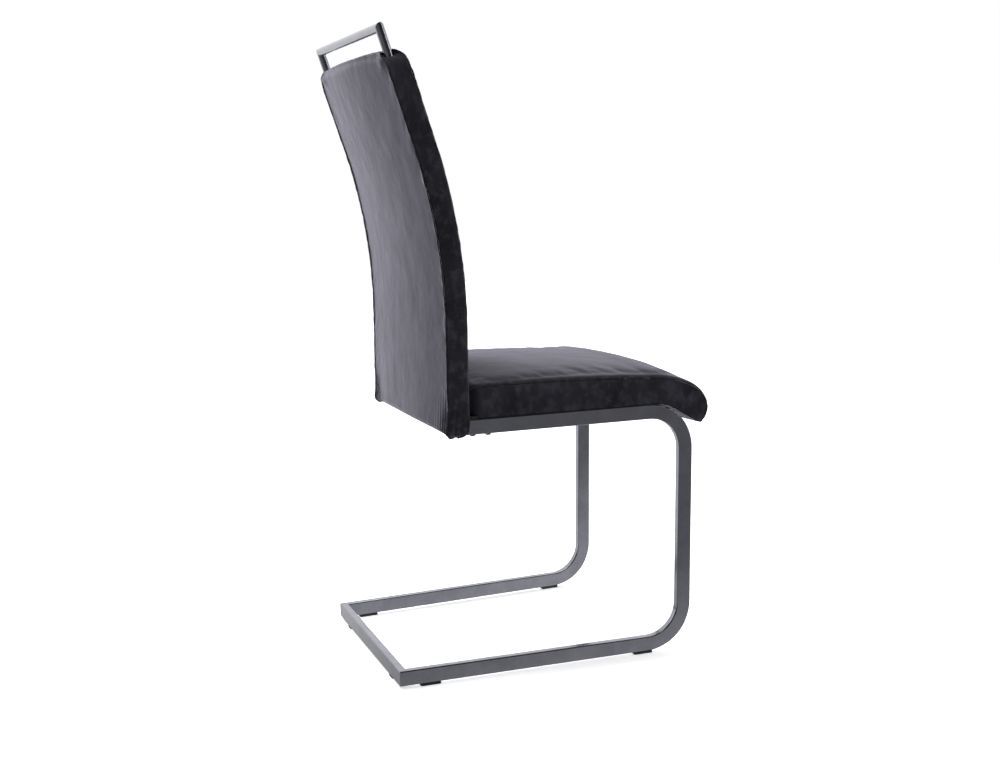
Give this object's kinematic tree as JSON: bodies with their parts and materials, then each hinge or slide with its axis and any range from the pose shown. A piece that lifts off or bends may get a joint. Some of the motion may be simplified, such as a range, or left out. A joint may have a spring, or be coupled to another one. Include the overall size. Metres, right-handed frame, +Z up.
{
  "type": "cantilever dining chair",
  "caption": "Cantilever dining chair: flat-sided steel tube base on glides, padded velvet seat with a rounded front, tall curved velvet back with a round grab handle on top.",
  "frame": {"origin": "middle of the overall box at floor level, under the chair's centre line", "axes": "+Z up, -Y the way the sitter faces, +X towards the sitter's left hand"},
  "size_m": [0.4086, 0.5621, 1.0225],
  "materials": {
    "dark_nickel": "polished dark nickel plating on steel tube",
    "zinc_steel": "zinc-plated steel",
    "black_steel": "satin black powder coat",
    "black_plastic": "matt moulded",
    "plywood": "raw moulded plywood",
    "foam": "cut upholstery foam",
    "velvet": "short-pile velvet, charcoal black",
    "dust_cloth": "thin non-woven cloth"
  },
  "bodies": {
    "root": {"side_tube_right": "dark_nickel", "side_tube_left": "dark_nickel", "rear_floor_tube": "dark_nickel", "front_cross_tube": "dark_nickel", "rear_cross_tube": "dark_nickel", "rail_end_plugs": "black_plastic", "glide_front_right": "black_plastic", "glide_front_left": "black_plastic", "glide_rear_right": "black_plastic", "glide_rear_left": "black_plastic", "floor_tube_glides": "black_plastic", "seat_board": "plywood", "seat_foam": "foam", "seat_cover": "velvet", "seat_dust_cover": "dust_cloth", "seat_screws": "zinc_steel", "back_core": "plywood", "back_front_foam": "foam", "back_rear_foam": "foam", "back_cover": "velvet", "back_bracket_right": "black_steel", "back_bracket_left": "black_steel", "back_bolts": "dark_nickel", "bracket_screws": "zinc_steel", "handle_crossbar": "dark_nickel", "handle_post_right": "dark_nickel", "handle_post_left": "dark_nickel", "handle_plugs": "zinc_steel", "handle_studs": "zinc_steel", "handle_barrel_nuts": "zinc_steel"}
  },
  "joints": []
}
